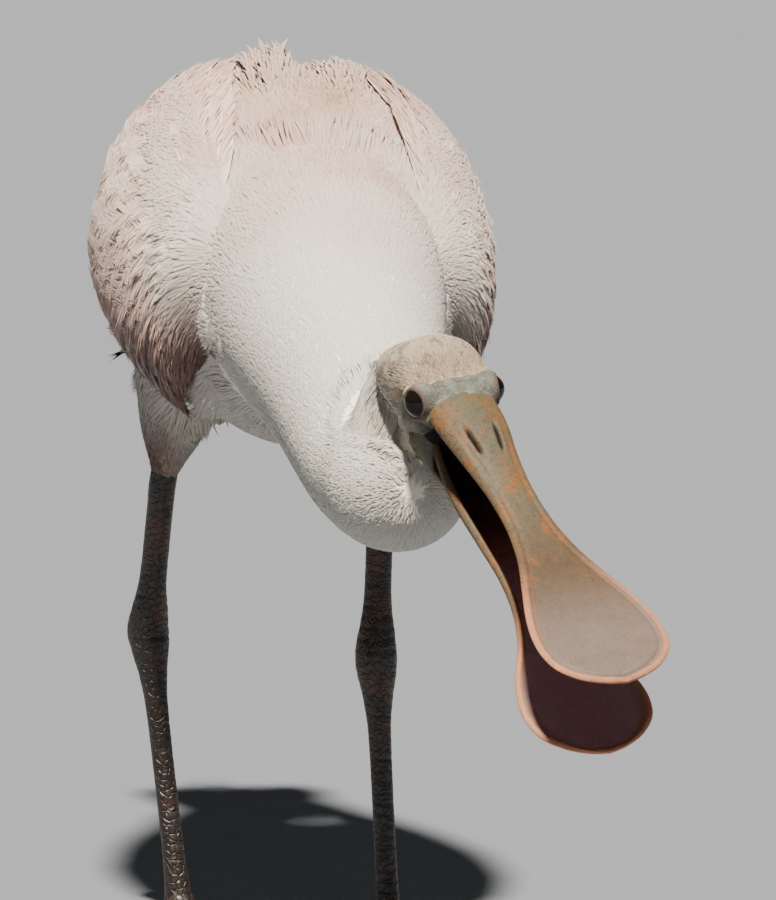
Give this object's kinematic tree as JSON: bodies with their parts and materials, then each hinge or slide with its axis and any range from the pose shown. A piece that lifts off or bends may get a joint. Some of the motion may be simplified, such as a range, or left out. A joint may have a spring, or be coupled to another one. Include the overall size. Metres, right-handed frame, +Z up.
{
  "type": "roseate spoonbill",
  "caption": "Life-size still model of a wading spoonbill, stepping with its head lowered in front and its broad spoon-shaped bill open.",
  "frame": {"origin": "on the floor, under the middle of the whole bird's bounding box", "axes": "+Z up, the bird looks along -Y, +X is the bird's left side"},
  "size_m": [0.1832, 0.5982, 0.3332],
  "materials": {
    "plumage": "soft matt cream-white feathers, faint pink and buff stains",
    "wing_feathers": "matt pale pink flight and covert feathers with greyish shafts",
    "bill": "satin horny skin, grey-green base with ochre stains, pinkish grey spoon",
    "eye": "wet gloss, dark brown iris and black pupil",
    "leg_skin": "satin scaled skin, dark brown with reddish patches",
    "claw": "satin dark horn"
  },
  "bodies": {
    "root": {"torso": "plumage", "neck_lower": "plumage", "neck_upper": "plumage", "head": "plumage", "wing_left": "wing_feathers", "wing_right": "wing_feathers", "tail": "wing_feathers", "bill_upper": "bill", "bill_lower": "bill", "eye_left": "eye", "eye_right": "eye", "thigh_left": "plumage", "shin_left": "leg_skin", "tarsus_left": "leg_skin", "foot_left": "leg_skin", "claw_left_inner": "claw", "claw_left_middle": "claw", "claw_left_outer": "claw", "claw_left_hind": "claw", "thigh_right": "plumage", "shin_right": "leg_skin", "tarsus_right": "leg_skin", "foot_right": "leg_skin", "claw_right_inner": "claw", "claw_right_middle": "claw", "claw_right_outer": "claw", "claw_right_hind": "claw"}
  },
  "joints": []
}
